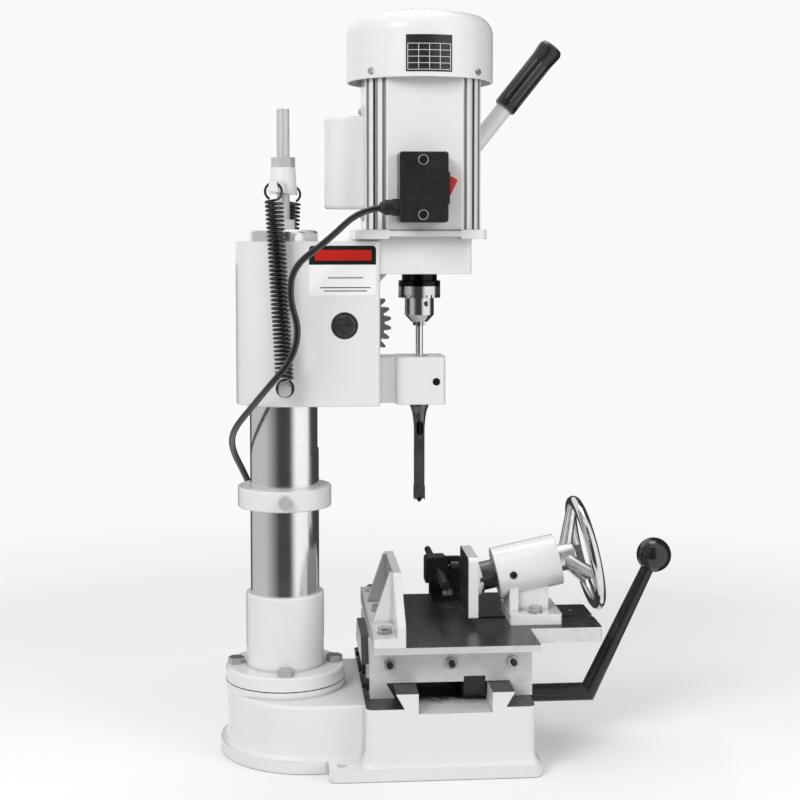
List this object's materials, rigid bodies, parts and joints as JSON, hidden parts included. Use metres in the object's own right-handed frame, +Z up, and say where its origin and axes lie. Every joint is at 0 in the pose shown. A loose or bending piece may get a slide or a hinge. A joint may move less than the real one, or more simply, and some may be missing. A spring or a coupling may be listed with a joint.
{
  "type": "hollow chisel mortiser",
  "caption": "Bench hollow chisel mortiser with a rack-fed head on a round column, upright motor, cross-slide table, fence and screw vise.",
  "frame": {"origin": "midway between the two bench bolts, on the underside of the base", "axes": "+X from the column to the handwheel, +Y to the back, +Z up along the column"},
  "size_m": [0.5095, 0.3695, 0.814],
  "materials": {
    "white_paint": "gloss",
    "ground_steel": "satin",
    "milled_iron": "satin",
    "zinc_steel": "satin",
    "dark_steel": "satin",
    "black_steel": "satin",
    "chrome": "gloss",
    "tool_steel": "satin",
    "black_plastic": "satin",
    "red_plastic": "gloss",
    "grip_rubber": "matte",
    "cord_rubber": "satin",
    "winding": "satin"
  },
  "bodies": {
    "base": {"base_casting": "white_paint", "column_socket": "white_paint", "socket_bolts": "zinc_steel", "column": "ground_steel", "column_rack": "dark_steel", "hanger_rod": "zinc_steel", "spring_hanger": "black_steel", "spring_front": "black_steel", "spring_rear": "black_steel", "cord_hang": "cord_rubber", "cord_coil": "cord_rubber", "cord_tie": "black_plastic", "plug": "black_plastic"},
    "collar": {"stop_collar": "white_paint"},
    "head": {"head_casting": "white_paint", "head_bolts": "zinc_steel", "shaft_bushes": "dark_steel", "chisel": "dark_steel", "motor_shields": "white_paint", "motor_housing": "white_paint", "tie_rods": "zinc_steel", "fan_cover": "white_paint", "cover_screws": "zinc_steel", "stator": "winding", "motor_bearings": "tool_steel", "capacitor_cover": "white_paint", "capacitor": "black_plastic", "switch_box": "black_plastic", "switch_lid": "black_plastic", "cable_gland": "black_plastic", "cord_head": "cord_rubber"},
    "feed": {"pinion_shaft": "dark_steel", "pinion_gear": "dark_steel", "handle_hub": "black_steel", "handle_tube": "white_paint", "handle_grip": "grip_rubber"},
    "spindle": {"rotor": "dark_steel", "fan": "black_plastic", "chuck_body": "chrome", "chuck_sleeve": "chrome", "auger": "tool_steel"},
    "switch": {"rocker": "red_plastic"},
    "cross_slide": {"saddle": "milled_iron", "gib_strips": "milled_iron", "gib_screws": "black_steel", "saddle_rack": "dark_steel"},
    "cross_lever": {"lever_bar": "black_steel", "lever_ball": "black_plastic"},
    "work_table": {"table": "milled_iron", "fence": "white_paint", "table_bolts": "zinc_steel", "vise_body": "white_paint", "stop_bracket": "black_steel", "stop_block": "black_steel"},
    "vise_wheel": {"handwheel": "chrome", "vise_screw": "dark_steel"},
    "vise_jaw": {"jaw_plate": "white_paint", "jaw_quill": "dark_steel"},
    "length_stop": {"stop_rod": "black_steel"}
  },
  "joints": [
    {"name": "collar_slide", "type": "slide", "parent": "base", "child": "collar", "axis": [0, 0, 1], "range_m": [-0.09, 0]},
    {"name": "head_slide", "type": "slide", "parent": "base", "child": "head", "axis": [0, 0, 1], "range_m": [-0.082, 0], "deforming": ["spring_front", "spring_rear", "cord_hang"]},
    {"name": "feed_turn", "type": "hinge", "parent": "head", "child": "feed", "pos_m": [0.0065, 0, 0.4726], "axis": [0, 1, 0], "range_deg": [0, 93.27]},
    {"name": "spindle_turn", "type": "hinge", "parent": "head", "child": "spindle", "pos_m": [0.092, 0, 0.55], "axis": [0, 0, 1], "continuous": true},
    {"name": "rocker_press", "type": "hinge", "parent": "head", "child": "switch", "pos_m": [0.1144, -0.08025, 0.6195], "axis": [0, -1, 0], "range_deg": [0, 26]},
    {"name": "cross_travel", "type": "slide", "parent": "base", "child": "cross_slide", "axis": [0, 1, 0], "range_m": [-0.035, 0.035]},
    {"name": "lever_turn", "type": "hinge", "parent": "base", "child": "cross_lever", "pos_m": [0.144, 0, 0.051], "axis": [1, 0, 0], "range_deg": [-89.13, 89.13]},
    {"name": "table_travel", "type": "slide", "parent": "cross_slide", "child": "work_table", "axis": [1, 0, 0], "range_m": [-0.025, 0.018]},
    {"name": "wheel_turn", "type": "hinge", "parent": "work_table", "child": "vise_wheel", "pos_m": [0.178, 0, 0.1894], "axis": [-0.9781, 0, -0.2079], "range_deg": [-576, 1008]},
    {"name": "jaw_travel", "type": "slide", "parent": "work_table", "child": "vise_jaw", "axis": [-0.9781, 0, -0.2079], "range_m": [-0.008, 0.014]},
    {"name": "stop_travel", "type": "slide", "parent": "work_table", "child": "length_stop", "axis": [0, 1, 0], "range_m": [-0.02, 0.02]}
  ],
  "couplings": [
    {"joint": "feed_turn", "follows": "head_slide", "rad_per_m": -19.851},
    {"joint": "lever_turn", "follows": "cross_travel", "rad_per_m": -44.444},
    {"joint": "jaw_travel", "follows": "wheel_turn", "m_per_rad": 0.00079577}
  ]
}
